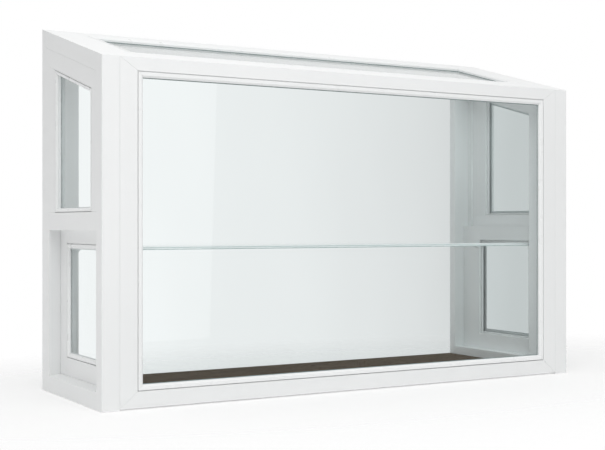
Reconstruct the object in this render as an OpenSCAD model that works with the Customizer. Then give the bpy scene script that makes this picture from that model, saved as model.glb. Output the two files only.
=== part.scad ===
// Garden window: a box-shaped projecting window with a sloping glass roof,
// fixed front and upper side lights, a recessed vent sash in each side,
// one glass shelf and a wooden seat board. The wall side is open to the room.
//
// Frame of the part: +X to the right as seen from outside, +Y towards the wall,
// +Z up. The origin is on the floor in the middle of the width and depth.

/* [Overall] */
// Width over the corner posts
body_w = 1360; // [1100:10:1800]
// Projection from the front face to the wall side
body_d = 415; // [370:5:560]
// Height at the wall
back_h = 898; // [840:2:1200]
// Height at the front face
front_h = 784; // [700:2:980]

/* [Front frame] */
// Width of a corner post on the front face
post_w = 42; // [32:1:60]
// Depth of a corner post on the side face
post_d = 36; // [26:1:48]
// Rounding of the outer edge of a corner post
post_round = 3; // [1:0.5:8]
// Width of a front stile beside the corner post
front_stile_w = 42; // [30:1:60]
// Height of the front head at the front face
front_head_h = 30; // [22:1:60]
// Height of the front opening's lower edge above the floor
front_sill_z = 40; // [32:1:70]
// Depth of the front frame
front_depth = 60; // [52:1:75]
// Shadow gap under the front sill
sill_lift = 3; // [1:0.5:8]

/* [Back frame] */
// Width of the back jambs and height of the back head
back_frame_w = 86; // [70:1:110]
// Thickness of the back frame
back_frame_t = 24.5; // [15:0.5:32]
// Width of a back jamb on the side face
back_leg = 53; // [45:1:70]
// Width of the cover lip between a back jamb and the side wall
lip_w = 7; // [4:1:12]
// Depth of the cover lip
lip_d = 15; // [8:1:18]

/* [Side walls] */
// Thickness of the side walls, which is also the depth of the vent recess
wall_t = 29; // [24:1:34]
// Front edge of the upper light, from the front face
light_front = 66; // [62:1:90]
// Back edge of the upper light, from the wall side
light_back = 98; // [80:1:125]
// Lower edge of the upper light
light_z = 440; // [425:5:520]
// Height from the roof edge down to the upper light
light_drop = 85; // [70:1:110]
// Upper edge of the vent recess
recess_top_z = 398; // [385:1:415]
// Height of the side sill at its outer face
sill_nose_h = 40; // [30:1:44]
// Height of the side sill inside
sill_h = 44; // [44:1:55]

/* [Vent sash] */
// Thickness of the sash
sash_t = 23; // [18:1:30]
// Top of the sash, seen inside
sash_top_z = 407; // [400:1:424]
// Front edge of the sash opening, from the front face
sash_front = 98; // [90:1:125]
// Back edge of the sash opening, from the wall side
sash_back = 99; // [90:1:125]
// Height of the lower sash rail
sash_rail = 44; // [30:1:70]
// Height of the upper sash rail
sash_head = 41; // [30:1:44]

/* [Roof] */
// Thickness of the roof frame, square to the slope
roof_t = 40; // [30:1:55]
// Width of the roof frame at the sides
roof_side_w = 96; // [80:1:150]
// Front edge of the roof opening, from the front face
roof_front = 80; // [70:1:120]
// Back edge of the roof opening, from the wall side
roof_back = 58; // [50:1:110]

/* [Glazing] */
// Thickness of the front glass
front_glass_t = 6; // [4:0.5:10]
// Thickness of the roof glass
roof_glass_t = 6; // [4:0.5:10]
// Thickness of the side glasses
side_glass_t = 4; // [3:0.5:6]
// Width of the front and roof beads
bead_w = 14; // [10:1:20]
// Depth of the front and roof beads, from the frame's face to the glass
bead_d = 10; // [7:0.5:14]
// Width of the upper light's beads
light_bead_w = 10; // [8:1:14]
// Depth of the upper light's beads
light_bead_d = 12; // [8:0.5:14]
// Width of the vent sash's beads
sash_bead_w = 12; // [8:1:16]
// Depth of the vent sash's beads
sash_bead_d = 7; // [6:0.5:9]
// Fall of a bead's face towards the glass
bead_fall = 4; // [1:0.5:5]
// Fall across the flat part of a bead's face
bead_lean = 0.5; // [0:0.1:1]
// Width of the shadow groove around a bead
groove_w = 2; // [0.5:0.25:3]
// Depth of the shadow groove
groove_depth = 4; // [1:0.5:6]
// Width of the stops on the inner side of the glass
stop_w = 5; // [4:0.5:8]
// Thickness of the stops
stop_t = 5; // [3:0.5:6]
// Room between a glass edge and its frame
edge_room = 2; // [1:0.5:4]

/* [Seat board and shelf] */
// Thickness of the seat board
board_t = 18; // [12:1:30]
// Thickness of the glass shelf
shelf_t = 8; // [5:0.5:12]
// Height of the shelf's underside
shelf_z = 353; // [200:1:380]
// Front edge of the shelf, from the front face
shelf_front = 75; // [64:1:85]
// Back edge of the shelf, from the wall side
shelf_back = 85; // [70:1:90]
// Length of a shelf clip, front to back
clip_l = 14; // [8:1:20]
// Reach of a shelf clip under the shelf
clip_w = 12; // [8:1:20]
// Height of a shelf clip
clip_h = 12; // [6:1:20]
// Thickness of a shelf clip's lip and tip
clip_t = 4; // [2:0.5:6]

/* [Fits] */
// Hairline seam between neighbouring pieces
seam = 0.2; // [0.1:0.05:0.5]

/* [Hidden] */

vinyl = "white";
clear = [0.85, 0.93, 0.93, 0.4];
dark_wood = [0.32, 0.26, 0.21];

// Planes of the box, from which every piece takes its place
left_x = -body_w / 2;
front_y = -body_d / 2;
back_y = body_d / 2;
jamb_y = back_y - back_frame_t;
slope = atan2(back_h - front_h, body_d);
roof_len = body_d / cos(slope);
// The roof frame's thickness, measured straight down
roof_down = roof_t / cos(slope);
opening_x = post_w + front_stile_w;
front_opening_top = front_h - front_head_h;
// Length used for cutting bodies that only have to reach past the part
beyond = 2 * max(body_w, body_d, back_h);
arc_steps = 6;

// Height of the roof plane at a distance y, lowered by drop
function roof_z(y, drop = 0) = front_h + (y - front_y) * tan(slope) - drop;

function unit(v) = v / norm(v);
function left_of(v) = [-v.y, v.x];

// Corner i of the counter-clockwise outline P, moved inwards by w
function inset_corner(P, i, w) =
    let (
        n = len(P),
        before = left_of(unit(P[i] - P[(i + n - 1) % n])),
        after = left_of(unit(P[(i + 1) % n] - P[i]))
    )
    P[i] + (before + after) * w / (1 + before * after);

function inset_outline(P, w) = [for (i = [0 : len(P) - 1]) inset_corner(P, i, w)];

// Section of a bead: a groove at its outer edge, then a face that falls to the glass
function bead_section(w, d) = [
    [0, -d], [w, -d], [w, -bead_fall], [w - bead_fall, -bead_lean],
    [groove_w, 0], [groove_w, -groove_depth], [0, -groove_depth],
];

function box_section(w, top, bottom) = [[0, bottom], [w, bottom], [w, top], [0, top]];

// Mitred bars along the inside of the outline P, each with the given section
module ring_bars(P, w, section) {
    n = len(P);
    for (i = [0 : n - 1]) {
        start = P[i];
        end = P[(i + 1) % n];
        along = unit(end - start);
        length = norm(end - start);
        inner_start = (inset_corner(P, i, w) - start) * along;
        inner_end = (inset_corner(P, (i + 1) % n, w) - start) * along;
        translate([start.x, start.y, 0])
            rotate([0, 0, atan2(along.y, along.x)])
                intersection() {
                    translate([0, 0, -beyond / 2])
                        linear_extrude(beyond)
                            polygon([[seam, seam], [length - seam, seam],
                                     [inner_end - seam, w], [inner_start + seam, w]]);
                    rotate([90, 0, 90])
                        linear_extrude(length)
                            polygon(section);
                }
    }
}

// Outer beads and inner stops that hold a glass of thickness t in the outline P
module glazing_bars(P, w, d, t) {
    color(vinyl) {
        ring_bars(P, w, bead_section(w, d));
        ring_bars(P, stop_w, box_section(stop_w, -d - t - 2 * seam, -d - t - 2 * seam - stop_t));
    }
}

module glass_pane(P, d, t) {
    color(clear)
        translate([0, 0, -d - t - seam])
            linear_extrude(t)
                polygon(inset_outline(P, edge_room));
}

// Prism of a Y-Z outline between two X positions
module side_prism(points, x0, x1) {
    translate([x0, 0, 0])
        rotate([90, 0, 90])
            linear_extrude(x1 - x0)
                polygon(points);
}

// Prism of an X-Z outline between two Y positions
module front_prism(points, y0, y1) {
    translate([0, y1, 0])
        rotate([90, 0, 0])
            linear_extrude(y1 - y0)
                polygon(points);
}

// Upright prism of an X-Y outline between two heights
module plan_prism(points, z0, z1) {
    translate([0, 0, z0])
        linear_extrude(z1 - z0)
            polygon(points);
}

// Everything under the roof plane lowered by drop
module under_roof(drop = 0) {
    side_prism([[front_y - body_d, -body_d], [back_y + body_d, -body_d],
                [back_y + body_d, roof_z(back_y + body_d, drop)],
                [front_y - body_d, roof_z(front_y - body_d, drop)]],
               -beyond / 2, beyond / 2);
}

// Upright prism of an X-Y outline that ends at the roof plane lowered by drop
module roofed_prism(points, z0, drop = 0) {
    intersection() {
        plan_prism(points, z0, 2 * back_h);
        under_roof(drop);
    }
}

function rect(x0, y0, x1, y1) = [[x0, y0], [x1, y0], [x1, y1], [x0, y1]];

// Places a drawing whose +Z looks out of the front, the left side or the roof
module on_front() {
    translate([0, front_y, 0]) rotate([90, 0, 0]) children();
}

module on_left_side(depth = 0) {
    translate([left_x + depth, 0, 0]) rotate([90, 0, -90]) children();
}

module on_roof() {
    translate([0, front_y, front_h]) rotate([slope, 0, 0]) children();
}

module left_and_mirrored(is_left) {
    if (is_left) children();
    else mirror([1, 0, 0]) children();
}

/* ---- Front ---- */

front_outline = rect(left_x + opening_x, front_sill_z, -left_x - opening_x, front_opening_top);

// Corner post with its outer edge rounded
module corner_post(is_left) {
    x0 = left_x;
    x1 = left_x + post_w;
    y1 = front_y + post_d;
    rounding = [for (k = [0 : arc_steps])
        let (a = 180 + 90 * k / arc_steps)
        [x0 + post_round + post_round * cos(a), front_y + post_round + post_round * sin(a)]];
    color(vinyl)
        left_and_mirrored(is_left)
            roofed_prism(concat([[x0, y1]], rounding, [[x1, front_y], [x1, y1]]), 0);
}

// Stile beside the corner post, mitred to the head and the sill
module front_stile(is_left) {
    x0 = left_x + post_w + seam;
    x1 = left_x + opening_x;
    color(vinyl)
        left_and_mirrored(is_left)
            front_prism([[x0, sill_lift + seam], [x1, front_sill_z + seam],
                         [x1, front_opening_top - seam], [x0, front_h - seam]],
                        front_y, front_y + front_depth);
}

module front_head() {
    x0 = left_x + post_w + seam;
    x1 = left_x + opening_x;
    color(vinyl)
        intersection() {
            front_prism([[x0, front_h], [x1, front_opening_top], [-x1, front_opening_top],
                         [-x0, front_h], [-x0, 2 * back_h], [x0, 2 * back_h]],
                        front_y, front_y + front_depth);
            under_roof();
        }
}

module front_sill() {
    x0 = left_x + post_w + seam;
    x1 = left_x + opening_x;
    color(vinyl)
        front_prism([[x0, sill_lift], [-x0, sill_lift], [-x1, front_sill_z], [x1, front_sill_z]],
                    front_y, front_y + front_depth);
}

module front_bead() {
    on_front() glazing_bars(front_outline, bead_w, bead_d, front_glass_t);
}

module front_glass() {
    on_front() glass_pane(front_outline, bead_d, front_glass_t);
}

/* ---- Roof ---- */

roof_s0 = roof_front / cos(slope);
roof_s1 = (body_d - roof_back) / cos(slope);
roof_outline = rect(left_x + roof_side_w, roof_s0, -left_x - roof_side_w, roof_s1);

// Roof members are slabs on the slope, trimmed upright against the front and back frames
module roof_slab(x0, x1, s0, s1, y0, y1) {
    color(vinyl)
        intersection() {
            on_roof()
                translate([x0, s0, -roof_t]) cube([x1 - x0, s1 - s0, roof_t]);
            translate([x0, y0, 0]) cube([x1 - x0, y1 - y0, 2 * back_h]);
        }
}

// Rafter over a side wall. It notches around the corner post and the front frame.
module roof_rafter(is_left) {
    y0 = front_y + post_d + seam;
    y1 = jamb_y - seam;
    notch_x = left_x + post_w;
    notch_y = front_y + front_depth + seam;
    x1 = left_x + roof_side_w;
    left_and_mirrored(is_left)
        color(vinyl)
            intersection() {
                plan_prism([[left_x, y0], [notch_x, y0], [notch_x, notch_y], [x1, notch_y],
                            [x1, y1], [left_x, y1]], 0, 2 * back_h);
                on_roof()
                    translate([left_x, -roof_len, -roof_t])
                        cube([body_w, 3 * roof_len, roof_t]);
            }
}

module roof_front_rail() {
    x0 = left_x + roof_side_w + seam;
    roof_slab(x0, -x0, 0, roof_s0, front_y + front_depth + seam, back_y);
}

module roof_back_rail() {
    x0 = left_x + roof_side_w + seam;
    roof_slab(x0, -x0, roof_s1, 2 * roof_len, front_y, jamb_y - seam);
}

module roof_bead() {
    on_roof() glazing_bars(roof_outline, bead_w, bead_d, roof_glass_t);
}

module roof_glass() {
    on_roof() glass_pane(roof_outline, bead_d, roof_glass_t);
}

/* ---- Side walls ---- */

wall_x = left_x + wall_t;
skin_y0 = front_y + post_d + seam;
skin_y1 = back_y - back_leg - seam;
light_y0 = front_y + light_front;
light_y1 = back_y - light_back;
// Upper light as seen from the left, where +X of the outline is towards the front
light_outline = [
    [-light_y1, light_z], [-light_y0, light_z],
    [-light_y0, roof_z(light_y0, light_drop)], [-light_y1, roof_z(light_y1, light_drop)],
];

// Sloping head between the rafter and the upper light
module side_head(is_left) {
    color(vinyl)
        left_and_mirrored(is_left)
            side_prism([[skin_y0, roof_z(skin_y0, light_drop)], [skin_y1, roof_z(skin_y1, light_drop)],
                        [skin_y1, roof_z(skin_y1, roof_down + seam)],
                        [skin_y0, roof_z(skin_y0, roof_down + seam)]],
                       left_x, wall_x);
}

module side_mid_rail(is_left) {
    color(vinyl)
        left_and_mirrored(is_left)
            side_prism(rect(skin_y0, recess_top_z, skin_y1, light_z), left_x, wall_x);
}

// Sill under the vent: a low beam with a sloping nose outside and a flat curb inside
module side_sill(is_left) {
    x_in = left_x + back_frame_w;
    notch_y = front_y + front_depth + seam;
    color(vinyl)
        left_and_mirrored(is_left)
            intersection() {
                plan_prism([[left_x, skin_y0], [left_x + post_w, skin_y0],
                            [left_x + post_w, notch_y], [x_in, notch_y],
                            [x_in, jamb_y - seam], [wall_x + seam, jamb_y - seam],
                            [wall_x + seam, skin_y1], [left_x, skin_y1]],
                           0, sill_h);
                front_prism([[left_x, 0], [x_in, 0], [x_in, sill_h], [wall_x, sill_h],
                             [left_x, sill_nose_h]], front_y, back_y);
            }
}

// Front stile of the upper light, with a filler behind it against the front frame
module side_front_stile(is_left) {
    color(vinyl)
        left_and_mirrored(is_left)
            union() {
                roofed_prism(rect(left_x, skin_y0, wall_x, light_y0), light_z + seam,
                             light_drop + seam);
                roofed_prism(rect(wall_x, skin_y0, left_x + post_w, front_y + front_depth),
                             sash_top_z + seam, roof_down + seam);
            }
}

module side_back_stile(is_left) {
    color(vinyl)
        left_and_mirrored(is_left)
            roofed_prism(rect(left_x, light_y1, wall_x, skin_y1), light_z + seam,
                         light_drop + seam);
}

module upper_bead(is_left) {
    left_and_mirrored(is_left)
        on_left_side() glazing_bars(light_outline, light_bead_w, light_bead_d, side_glass_t);
}

module upper_glass(is_left) {
    left_and_mirrored(is_left)
        on_left_side() glass_pane(light_outline, light_bead_d, side_glass_t);
}

/* ---- Vent sashes ---- */

sash_x0 = wall_x + seam;
sash_x1 = sash_x0 + sash_t;
sash_y0 = front_y + sash_front;
sash_y1 = back_y - sash_back;
sash_z0 = sill_h + seam;
sash_outline = rect(-sash_y1, sill_h + sash_rail, -sash_y0, sash_top_z - sash_head);

// Sash behind the side wall: two stiles with two rails between them
module vent_sash(is_left) {
    corner_x = left_x + post_w;
    corner_y = front_y + front_depth + seam;
    color(vinyl)
        left_and_mirrored(is_left) {
            plan_prism([[sash_x0, skin_y0], [corner_x, skin_y0], [corner_x, corner_y],
                        [sash_x1, corner_y], [sash_x1, sash_y0], [sash_x0, sash_y0]],
                       sash_z0, sash_top_z);
            plan_prism(rect(sash_x0, sash_y1, sash_x1, jamb_y - seam), sash_z0, sash_top_z);
            plan_prism(rect(sash_x0, sash_y0 + seam, sash_x1, sash_y1 - seam),
                       sash_z0, sill_h + sash_rail);
            plan_prism(rect(sash_x0, sash_y0 + seam, sash_x1, sash_y1 - seam),
                       sash_top_z - sash_head, sash_top_z);
        }
}

module vent_bead(is_left) {
    left_and_mirrored(is_left)
        on_left_side(wall_t + seam)
            glazing_bars(sash_outline, sash_bead_w, sash_bead_d, side_glass_t);
}

module vent_glass(is_left) {
    left_and_mirrored(is_left)
        on_left_side(wall_t + seam) glass_pane(sash_outline, sash_bead_d, side_glass_t);
}

/* ---- Back frame ---- */

// Jamb against the wall, its leg on the side face, and the cover lip inside
module back_jamb(is_left) {
    leg_y = back_y - back_leg;
    color(vinyl)
        left_and_mirrored(is_left)
            union() {
                roofed_prism(rect(left_x, jamb_y, left_x + back_frame_w, back_y), 0);
                roofed_prism(rect(left_x, leg_y, wall_x, jamb_y), 0, roof_down + seam);
                roofed_prism(rect(wall_x, jamb_y - lip_d, wall_x + lip_w, jamb_y),
                             sash_top_z + seam, roof_down + seam);
            }
}

module back_head() {
    x0 = left_x + back_frame_w + seam;
    color(vinyl)
        roofed_prism(rect(x0, jamb_y, -x0, back_y), back_h - back_frame_w);
}

/* ---- Inside ---- */

module seat_board() {
    x0 = left_x + back_frame_w + seam;
    color(dark_wood)
        plan_prism(rect(x0, front_y + front_depth + seam, -x0, back_y),
                   sill_lift, sill_lift + board_t);
}

shelf_y0 = front_y + shelf_front;
shelf_y1 = back_y - shelf_back;

module glass_shelf() {
    x0 = sash_x1 + seam;
    color(clear)
        plan_prism(rect(x0, shelf_y0, -x0, shelf_y1), shelf_z, shelf_z + shelf_t);
}

// Four clips on the sash stiles carry the shelf's corners
module shelf_clips() {
    x0 = sash_x1;
    color(vinyl)
        for (is_left = [true, false])
            left_and_mirrored(is_left)
                for (y = [shelf_y0, shelf_y1 - clip_l])
                    front_prism([[x0, shelf_z - clip_h], [x0 + clip_t, shelf_z - clip_h],
                                 [x0 + clip_w, shelf_z - clip_t], [x0 + clip_w, shelf_z],
                                 [x0, shelf_z]], y, y + clip_l);
}

corner_post(true);  // corner_post_left
corner_post(false);  // corner_post_right
front_head();
front_sill();
front_stile(true);  // front_stile_left
front_stile(false);  // front_stile_right
front_bead();
front_glass();
roof_rafter(true);  // roof_rafter_left
roof_rafter(false);  // roof_rafter_right
roof_front_rail();
roof_back_rail();
roof_bead();
roof_glass();
side_head(true);  // side_head_left
side_head(false);  // side_head_right
side_mid_rail(true);  // side_mid_rail_left
side_mid_rail(false);  // side_mid_rail_right
side_sill(true);  // side_sill_left
side_sill(false);  // side_sill_right
side_front_stile(true);  // side_front_stile_left
side_front_stile(false);  // side_front_stile_right
side_back_stile(true);  // side_back_stile_left
side_back_stile(false);  // side_back_stile_right
upper_bead(true);  // upper_bead_left
upper_bead(false);  // upper_bead_right
upper_glass(true);  // upper_glass_left
upper_glass(false);  // upper_glass_right
vent_sash(true);  // vent_sash_left
vent_sash(false);  // vent_sash_right
vent_bead(true);  // vent_bead_left
vent_bead(false);  // vent_bead_right
vent_glass(true);  // vent_glass_left
vent_glass(false);  // vent_glass_right
back_jamb(true);  // back_jamb_left
back_jamb(false);  // back_jamb_right
back_head();
seat_board();
glass_shelf();
shelf_clips();
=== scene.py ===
import math

import bmesh
import bpy
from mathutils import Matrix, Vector


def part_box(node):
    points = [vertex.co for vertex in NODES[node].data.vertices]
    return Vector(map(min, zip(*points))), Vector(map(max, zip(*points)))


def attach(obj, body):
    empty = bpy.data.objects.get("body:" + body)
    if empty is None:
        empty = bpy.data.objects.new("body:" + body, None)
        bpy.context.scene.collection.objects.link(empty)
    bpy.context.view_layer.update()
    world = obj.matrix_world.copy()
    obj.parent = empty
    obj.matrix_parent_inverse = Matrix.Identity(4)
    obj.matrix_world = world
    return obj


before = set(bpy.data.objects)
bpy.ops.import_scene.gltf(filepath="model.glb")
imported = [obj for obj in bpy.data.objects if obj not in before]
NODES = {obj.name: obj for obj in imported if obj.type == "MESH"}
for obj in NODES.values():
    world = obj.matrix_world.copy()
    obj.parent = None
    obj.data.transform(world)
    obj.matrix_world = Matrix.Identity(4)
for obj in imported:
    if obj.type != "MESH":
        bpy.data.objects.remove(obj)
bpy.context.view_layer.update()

# A garden window of white vinyl: a projecting box with a sloping glass roof, a fixed
# front light, an upper light and a recessed vent in each side, a glass shelf and a
# dark seat board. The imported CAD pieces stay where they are. This script gives them
# their finishes, rounds their edges and adds the seals around the panes.

BODY = "root"

# ---- Sizes in metres ----
EDGE_ROUNDING = 0.0003
WOOD_ROUNDING = 0.001
WELD_DISTANCE = 0.00001
FLAT_ANGLE = math.radians(1)
SHARP_ANGLE = math.radians(25)
SEAL_WIDTH = 0.0016
SEAL_HEIGHT = 0.0012
SEAL_TUCK = 0.0004
FLOOR_SIZE = 40
FLOOR_FADE_SHAPE = (0.5, 1, 1)
FLOOR_LEAST_FADE = 0.5

# ---- Glass ----
PANE_IOR = 1.5

# ---- Camera ----
CAMERA_PLACE = (-1.5882, -2.6210, 0.4104)
CAMERA_YAW = math.radians(30.42)
CAMERA_LENS = 69.16
SENSOR_WIDTH = 36

# ---- Light ----
SKY_LOW = 0.15
SKY_HIGH = 0.8
# Painted shade for the backdrop seen through panes: grey level by the X of the view direction
PANE_BACKDROP_PAINTED_SHADE = [(0.3, 0.99), (0.41, 0.95), (0.51, 0.9), (0.59, 0.79), (0.65, 0.64), (0.8, 0.6), (1.0, 0.8)]
FLOOR_FACES = 1.5
KEY_PLACE = (-0.9, -2.1, 3.6)
KEY_SIZE = (3.0, 2.2)
KEY_POWER = 70
FILL_PLACE = (-0.2, -4.2, 0.7)
FILL_SIZE = (3.6, 2.0)
FILL_POWER = 20

SIDE_PLACE = (-1.7, 0.1, 0.08)
SIDE_SIZE = (1.5, 0.15)
SIDE_POWER = 1.2


# ---- Node helpers ----
def new_material(name):
    material = bpy.data.materials.new(name)
    material.use_nodes = True
    material.node_tree.nodes.clear()
    return material


class Tree:
    """Short calls for building a node tree."""

    def __init__(self, tree):
        self.tree = tree
        self.nodes = tree.nodes

    def add(self, kind, inputs=None, **settings):
        node = self.nodes.new(kind)
        for name, value in settings.items():
            setattr(node, name, value)
        for name, value in (inputs or {}).items():
            socket = node.inputs[name]
            if isinstance(value, bpy.types.NodeSocket):
                self.tree.links.new(value, socket)
            else:
                socket.default_value = value
        return node

    def link(self, source, socket):
        self.tree.links.new(source, socket)

    def object_space(self, scale=(1, 1, 1)):
        place = self.add("ShaderNodeTexCoord").outputs["Object"]
        return self.add("ShaderNodeMapping", {"Vector": place, "Scale": scale}).outputs["Vector"]

    def noise(self, vector, scale, detail=3, rough=0.5):
        return self.add(
            "ShaderNodeTexNoise",
            {"Vector": vector, "Scale": scale, "Detail": detail, "Roughness": rough},
        ).outputs["Fac"]

    def ramp(self, factor, stops):
        node = self.add("ShaderNodeValToRGB", {"Fac": factor})
        elements = node.color_ramp.elements
        while len(elements) < len(stops):
            elements.new(0.5)
        for element, (position, colour) in zip(elements, stops):
            element.position = position
            element.color = (*colour, 1)
        return node.outputs["Color"]

    def range(self, value, low, high, to_low, to_high):
        return self.add(
            "ShaderNodeMapRange",
            {"Value": value, "From Min": low, "From Max": high, "To Min": to_low, "To Max": to_high},
        ).outputs["Result"]

    def bump(self, height, distance, strength):
        return self.add(
            "ShaderNodeBump", {"Height": height, "Distance": distance, "Strength": strength}
        ).outputs["Normal"]

    def surface(self, shader):
        output = self.add("ShaderNodeOutputMaterial")
        self.link(shader, output.inputs["Surface"])


def shade(colour, factor):
    return tuple(min(1, c * factor) for c in colour)


def seen_rays(t):
    """1 for the rays that show the backdrop: straight ones, mirrored ones and those through glass."""
    rays = t.add("ShaderNodeLightPath").outputs
    seen = t.add("ShaderNodeMath", {0: rays["Is Camera Ray"], 1: rays["Is Glossy Ray"]}, operation="MAXIMUM")
    seen = t.add("ShaderNodeMath", {0: seen.outputs[0], 1: rays["Is Transmission Ray"]}, operation="MAXIMUM")
    return seen.outputs[0]


# ---- Materials ----
def vinyl(name, colour, roughness, along):
    """Extruded vinyl: faint draw lines along the bar, a fine skin and slight tone changes."""
    material = new_material(name)
    t = Tree(material.node_tree)
    tone = t.noise(t.object_space(), 2.2, detail=4)
    base = t.ramp(tone, [(0.3, shade(colour, 0.985)), (0.7, shade(colour, 1.012))])
    lines = t.noise(t.object_space(along), 900, detail=2)
    skin = t.noise(t.object_space(), 420, detail=2)
    height = t.add("ShaderNodeMix", {"Factor": 0.6, "A": lines, "B": skin}).outputs["Result"]
    gloss = t.range(t.noise(t.object_space(), 35, detail=3), 0.3, 0.7, roughness - 0.04, roughness + 0.05)
    shader = t.add("ShaderNodeBsdfPrincipled", {
        "Base Color": base,
        "Roughness": gloss,
        "IOR": 1.5,
        "Normal": t.bump(height, 0.00012, 0.35),
    })
    t.surface(shader.outputs["BSDF"])
    return material


def glass(name, tint, edge=None):
    """A clear pane: it lets light through straight, mirrors by its angle and has green edges with bands of
    painted highlight.
    """
    material = new_material(name)
    t = Tree(material.node_tree)
    film = t.noise(t.object_space((1, 1, 0.4)), 3.5, detail=4)
    clear = t.ramp(film, [(0.3, shade(tint, 0.99)), (0.7, shade(tint, 1.006))])
    smear = t.noise(t.object_space((1, 1, 3)), 9, detail=5)
    blur = t.range(smear, 0.35, 0.75, 0.004, 0.03)
    through = t.add("ShaderNodeBsdfTransparent", {"Color": clear})
    mirror = t.add("ShaderNodeBsdfAnisotropic", {"Color": (1, 1, 1, 1), "Roughness": blur})
    # Only the face that a ray enters by mirrors it: both faces of a pane together do so with this IOR
    angle = t.add("ShaderNodeFresnel", {"IOR": PANE_IOR}).outputs[0]
    inner = t.add("ShaderNodeNewGeometry").outputs["Backfacing"]
    share = t.add("ShaderNodeMath", {0: angle, 1: inner}, operation="SUBTRACT", use_clamp=True)
    pane = t.add("ShaderNodeMixShader", {0: share.outputs[0], 1: through.outputs[0], 2: mirror.outputs[0]})
    if edge is None:
        t.surface(pane.outputs[0])
        return material
    # A polished front edge: green in the middle of its height, with painted highlights as white bands along both
    # arrises
    normal = t.add("ShaderNodeTexCoord").outputs["Normal"]
    upright = t.add("ShaderNodeSeparateXYZ", {0: normal}).outputs["Z"]
    flatness = t.add("ShaderNodeMath", {0: upright}, operation="ABSOLUTE").outputs[0]
    is_edge = t.add("ShaderNodeMath", {0: flatness, 1: 0.5}, operation="LESS_THAN").outputs[0]
    place = t.add("ShaderNodeTexCoord").outputs["Object"]
    rise = t.add("ShaderNodeSeparateXYZ", {0: place}).outputs["Z"]
    level = t.range(rise, edge["low"], edge["high"], 0, 1)
    chips = t.noise(t.object_space((1, 1, 0.1)), 260, detail=2)
    wander = t.range(chips, 0.3, 0.7, -0.05, 0.05)
    level = t.add("ShaderNodeMath", {0: level, 1: wander}, operation="ADD").outputs[0]
    tone = t.ramp(level, edge["tones_with_painted_highlights"])
    edge_with_painted_highlights = t.add("ShaderNodeBsdfPrincipled", {"Base Color": tone, "Roughness": 0.12})
    whole = t.add("ShaderNodeMixShader", {0: is_edge, 1: pane.outputs[0], 2: edge_with_painted_highlights.outputs[0]})
    t.surface(whole.outputs[0])
    return material


def board_wood(name):
    """Dark brown stained wood with fine grain along the board."""
    material = new_material(name)
    t = Tree(material.node_tree)
    grain_space = t.object_space((1, 14, 14))
    streaks = t.noise(grain_space, 9, detail=8, rough=0.65)
    pores = t.noise(t.object_space((6, 90, 90)), 9, detail=3, rough=0.6)
    base = t.ramp(streaks, [
        (0.25, (0.052, 0.035, 0.021)),
        (0.5, (0.09, 0.062, 0.036)),
        (0.78, (0.14, 0.1, 0.062)),
    ])
    dark = t.range(pores, 0.36, 0.52, 0.55, 1)
    colour = t.add("ShaderNodeMix", {"Factor": 1.0}, data_type="RGBA", blend_type="MULTIPLY")
    t.link(base, colour.inputs["A"])
    t.link(dark, colour.inputs["B"])
    shader = t.add("ShaderNodeBsdfPrincipled", {
        "Base Color": colour.outputs["Result"],
        "Roughness": t.range(streaks, 0.2, 0.8, 0.7, 0.85),
        "Specular IOR Level": 0.0,
        "Normal": t.bump(pores, 0.0003, 0.5),
    })
    t.surface(shader.outputs["BSDF"])
    return material


def seal_rubber(name, colour):
    """Grey flexible seal with a dull, slightly dusty skin."""
    material = new_material(name)
    t = Tree(material.node_tree)
    dust = t.noise(t.object_space(), 160, detail=4)
    base = t.ramp(dust, [(0.35, shade(colour, 0.85)), (0.7, shade(colour, 1.15))])
    shader = t.add("ShaderNodeBsdfPrincipled", {
        "Base Color": base,
        "Roughness": t.range(dust, 0.3, 0.7, 0.5, 0.75),
        "Normal": t.bump(dust, 0.0002, 0.4),
    })
    t.surface(shader.outputs["BSDF"])
    return material


def floor_finish(name, colour, near, far):
    """Pale studio floor that fades into the white background away from the window."""
    material = new_material(name)
    t = Tree(material.node_tree)
    mottle = t.noise(t.object_space(), 14, detail=5)
    base = t.ramp(mottle, [(0.3, shade(colour, 0.997)), (0.7, shade(colour, 1.003))])
    lit = t.add("ShaderNodeBsdfDiffuse", {"Color": base})
    clear = t.add("ShaderNodeBsdfTransparent")
    place = t.add("ShaderNodeTexCoord").outputs["Object"]
    squeezed = t.add("ShaderNodeMapping", {"Vector": place, "Scale": FLOOR_FADE_SHAPE}).outputs["Vector"]
    distance = t.add("ShaderNodeVectorMath", {0: squeezed}, operation="LENGTH").outputs["Value"]
    fade = t.range(distance, near, far, FLOOR_LEAST_FADE, 1)
    share = t.add("ShaderNodeMath", {0: fade, 1: seen_rays(t)}, operation="MULTIPLY")
    mix = t.add("ShaderNodeMixShader", {0: share.outputs[0], 1: lit.outputs[0], 2: clear.outputs[0]})
    t.surface(mix.outputs[0])
    return material


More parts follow.
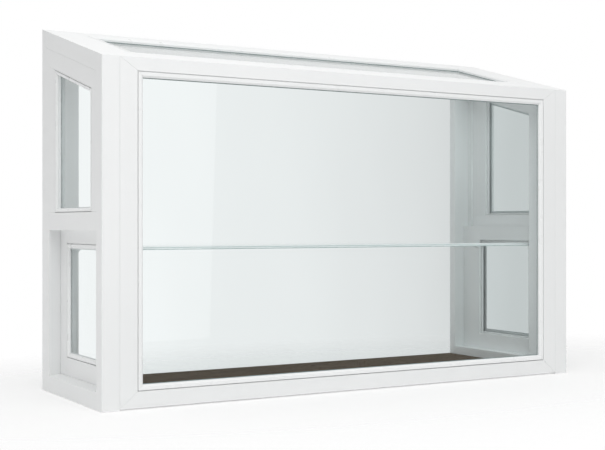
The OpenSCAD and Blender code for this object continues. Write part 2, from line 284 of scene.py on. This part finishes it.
# ---- Finishes for the CAD pieces ----
# Shelf edge tones: green glass, with white bands along both arrises that are painted highlights
SHELF_EDGE_WITH_PAINTED_HIGHLIGHTS = {
    "low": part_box("glass_shelf")[0].z,
    "high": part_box("glass_shelf")[1].z,
    "tones_with_painted_highlights": [
        (0.0, (0.3, 0.4, 0.4)), (0.14, (0.36, 0.48, 0.47)), (0.24, (1.0, 1.0, 1.0)),
        (0.5, (1.0, 1.0, 1.0)), (0.58, (0.38, 0.5, 0.49)), (0.64, (0.42, 0.54, 0.53)),
        (0.72, (1.0, 1.0, 1.0)), (1.0, (1.0, 1.0, 1.0)),
    ],
}
FINISHES = {
    "frame_vinyl": vinyl("frame_vinyl_look", (0.86, 0.87, 0.87), 0.36, (0.02, 1, 1)),
    "bead_vinyl": vinyl("bead_vinyl_look", (0.88, 0.89, 0.89), 0.3, (0.02, 1, 1)),
    "clip_plastic": vinyl("clip_plastic_look", (0.82, 0.84, 0.84), 0.42, (1, 1, 1)),
    "window_glass": glass("window_glass_look", (0.938, 0.96, 0.96)),
    "shelf_glass": glass("shelf_glass_look", (0.95, 0.965, 0.963), SHELF_EDGE_WITH_PAINTED_HIGHLIGHTS),
    "seat_board": board_wood("seat_board_look"),
}
DARK_SEAL = seal_rubber("dark_seal_look", (0.2, 0.25, 0.25))
PALE_SEAL = seal_rubber("pale_seal_look", (0.6, 0.64, 0.64))


def dress_nodes():
    for node in NODES.values():
        slot = node.material_slots[0].material.name
        node.material_slots[0].material = FINISHES[slot]
        if slot in ("window_glass", "shelf_glass"):
            continue
        weld = node.modifiers.new("weld", "WELD")
        weld.merge_threshold = WELD_DISTANCE
        flat = node.modifiers.new("flat", "DECIMATE")
        flat.decimate_type = "DISSOLVE"
        flat.angle_limit = FLAT_ANGLE
        bevel = node.modifiers.new("edges", "BEVEL")
        bevel.width = WOOD_ROUNDING if slot == "seat_board" else EDGE_ROUNDING
        bevel.segments = 2
        bevel.limit_method = "ANGLE"
        bevel.angle_limit = SHARP_ANGLE
        normals = node.modifiers.new("normals", "WEIGHTED_NORMAL")
        normals.weight = 100


# ---- Seals ----
def plane_of(side, glass_node):
    """Origin and axes of a pane's outer face: right, up and out."""
    low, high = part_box(glass_node)
    if side == "front":
        right, up, out = Vector((1, 0, 0)), Vector((0, 0, 1)), Vector((0, -1, 0))
    elif side == "left":
        right, up, out = Vector((0, -1, 0)), Vector((0, 0, 1)), Vector((-1, 0, 0))
    elif side == "right":
        right, up, out = Vector((0, 1, 0)), Vector((0, 0, 1)), Vector((1, 0, 0))
    else:
        points = [v.co for v in NODES[glass_node].data.vertices]
        front_edge = max((p for p in points if abs(p.y - low.y) < 0.003), key=lambda p: p.z)
        back_edge = max((p for p in points if abs(p.z - high.z) < 0.0001), key=lambda p: p.z)
        slope = math.atan2(back_edge.z - front_edge.z, back_edge.y - front_edge.y)
        right = Vector((1, 0, 0))
        up = Vector((0, math.cos(slope), math.sin(slope)))
        out = Vector((0, -math.sin(slope), math.cos(slope)))
    face = max(v.co.dot(out) for v in NODES[glass_node].data.vertices)
    return right, up, out, face


def inner_corners(bead_node, right, up):
    """Corners of the opening inside a ring of beads, counter-clockwise seen from outside."""
    flat = [(v.co.dot(right), v.co.dot(up)) for v in NODES[bead_node].data.vertices]
    middle = [(min(p[k] for p in flat) + max(p[k] for p in flat)) / 2 for k in (0, 1)]
    corners = []
    for sign_u, sign_v in ((-1, -1), (1, -1), (1, 1), (-1, 1)):
        own = [p for p in flat if (p[0] - middle[0]) * sign_u > 0 and (p[1] - middle[1]) * sign_v > 0]
        corners.append(min(own, key=lambda p: abs(p[0] - middle[0]) + abs(p[1] - middle[1])))
    return corners


def offset_corner(corners, index, inwards):
    here = Vector(corners[index])
    before = (here - Vector(corners[index - 1])).normalized()
    after = (Vector(corners[(index + 1) % len(corners)]) - here).normalized()
    normal_before = Vector((-before.y, before.x))
    normal_after = Vector((-after.y, after.x))
    return here + (normal_before + normal_after) * inwards / (1 + normal_before.dot(normal_after))


def seal_ring(name, side, bead_node, glass_node, finish):
    right, up, out, face = plane_of(side, glass_node)
    corners = inner_corners(bead_node, right, up)
    steps = 5
    profile = [(-SEAL_TUCK, 0), (SEAL_WIDTH, 0)]
    for k in range(1, steps + 1):
        angle = math.pi / 2 * k / steps
        profile.append((SEAL_WIDTH * math.cos(angle), SEAL_HEIGHT * math.sin(angle)))
    profile.append((-SEAL_TUCK, SEAL_HEIGHT))
    mesh = bmesh.new()
    rings = []
    for index in range(len(corners)):
        ring = []
        for inwards, height in profile:
            flat = offset_corner(corners, index, inwards)
            ring.append(mesh.verts.new(right * flat.x + up * flat.y + out * (face + height)))
        rings.append(ring)
    for index, ring in enumerate(rings):
        after = rings[(index + 1) % len(rings)]
        for k in range(len(profile)):
            nxt = (k + 1) % len(profile)
            mesh.faces.new((ring[k], ring[nxt], after[nxt], after[k]))
    bmesh.ops.recalc_face_normals(mesh, faces=mesh.faces)
    data = bpy.data.meshes.new(name)
    mesh.to_mesh(data)
    mesh.free()
    piece = bpy.data.objects.new(name, data)
    bpy.context.scene.collection.objects.link(piece)
    data.materials.append(finish)
    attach(piece, BODY)
    return piece


def make_seals():
    seal_ring("front_seal", "front", "front_bead", "front_glass", DARK_SEAL)
    seal_ring("roof_seal", "roof", "roof_bead", "roof_glass", DARK_SEAL)
    for side in ("left", "right"):
        seal_ring(f"upper_seal_{side}", side, f"upper_bead_{side}", f"upper_glass_{side}", PALE_SEAL)
        seal_ring(f"vent_seal_{side}", side, f"vent_bead_{side}", f"vent_glass_{side}", PALE_SEAL)


# ---- Stage ----
def make_floor():
    half = FLOOR_SIZE / 2
    data = bpy.data.meshes.new("studio_floor")
    data.from_pydata([(-half, -half, 0), (half, -half, 0), (half, half, 0), (-half, half, 0)], [], [(0, 1, 2, 3)])
    floor = bpy.data.objects.new("studio_floor", data)
    floor.location.z = -0.0002
    bpy.context.scene.collection.objects.link(floor)
    data.materials.append(floor_finish("studio_floor_look", (0.95, 0.95, 0.95), 0.3, 1.0))


def make_world():
    world = bpy.data.worlds.new("studio")
    bpy.context.scene.world = world
    world.use_nodes = True
    world.node_tree.nodes.clear()
    t = Tree(world.node_tree)
    direction = t.add("ShaderNodeTexCoord").outputs["Generated"]
    parts = t.add("ShaderNodeSeparateXYZ", {0: direction}).outputs
    sky = t.range(parts["Z"], 0, 1, SKY_LOW, SKY_HIGH)
    light = t.add("ShaderNodeBackground", {"Color": (1, 1, 1, 1), "Strength": sky})
    # Behind panes the backdrop carries painted shade, darker towards the right; seen straight it stays white
    painted_shade_ramp = t.ramp(parts["X"], [(position, (level,) * 3) for position, level in PANE_BACKDROP_PAINTED_SHADE])
    depth = t.add("ShaderNodeLightPath").outputs["Transparent Depth"]
    behind_panes = t.add("ShaderNodeMath", {0: depth, 1: FLOOR_FACES}, operation="GREATER_THAN").outputs[0]
    tone = t.add("ShaderNodeMix", {"Factor": behind_panes, "A": (1, 1, 1, 1), "B": painted_shade_ramp}, data_type="RGBA")
    seen = t.add("ShaderNodeBackground", {"Color": tone.outputs["Result"], "Strength": 1.0})
    mix = t.add("ShaderNodeMixShader", {0: seen_rays(t), 1: light.outputs[0], 2: seen.outputs[0]})
    output = t.add("ShaderNodeOutputWorld")
    t.link(mix.outputs[0], output.inputs["Surface"])


def area_lamp(name, place, size, power, target):
    data = bpy.data.lights.new(name, "AREA")
    data.shape = "RECTANGLE"
    data.size, data.size_y = size
    data.energy = power
    lamp = bpy.data.objects.new(name, data)
    lamp.location = place
    aim = Vector(target) - Vector(place)
    lamp.rotation_euler = aim.to_track_quat("-Z", "Y").to_euler()
    lamp.visible_camera = False
    bpy.context.scene.collection.objects.link(lamp)


def make_camera():
    data = bpy.data.cameras.new("camera")
    data.lens = CAMERA_LENS
    data.sensor_width = SENSOR_WIDTH
    camera = bpy.data.objects.new("camera", data)
    camera.location = CAMERA_PLACE
    camera.rotation_euler = (math.radians(90), 0, -CAMERA_YAW)
    bpy.context.scene.collection.objects.link(camera)
    bpy.context.scene.camera = camera


dress_nodes()
make_seals()
make_floor()
make_world()
area_lamp("key", KEY_PLACE, KEY_SIZE, KEY_POWER, (0, 0, 0.45))
area_lamp("fill", FILL_PLACE, FILL_SIZE, FILL_POWER, (0, 0, 0.45))
area_lamp("side", SIDE_PLACE, SIDE_SIZE, SIDE_POWER, (-0.68, 0, 0.1))
make_camera()
bpy.context.scene.view_settings.view_transform = "Standard"
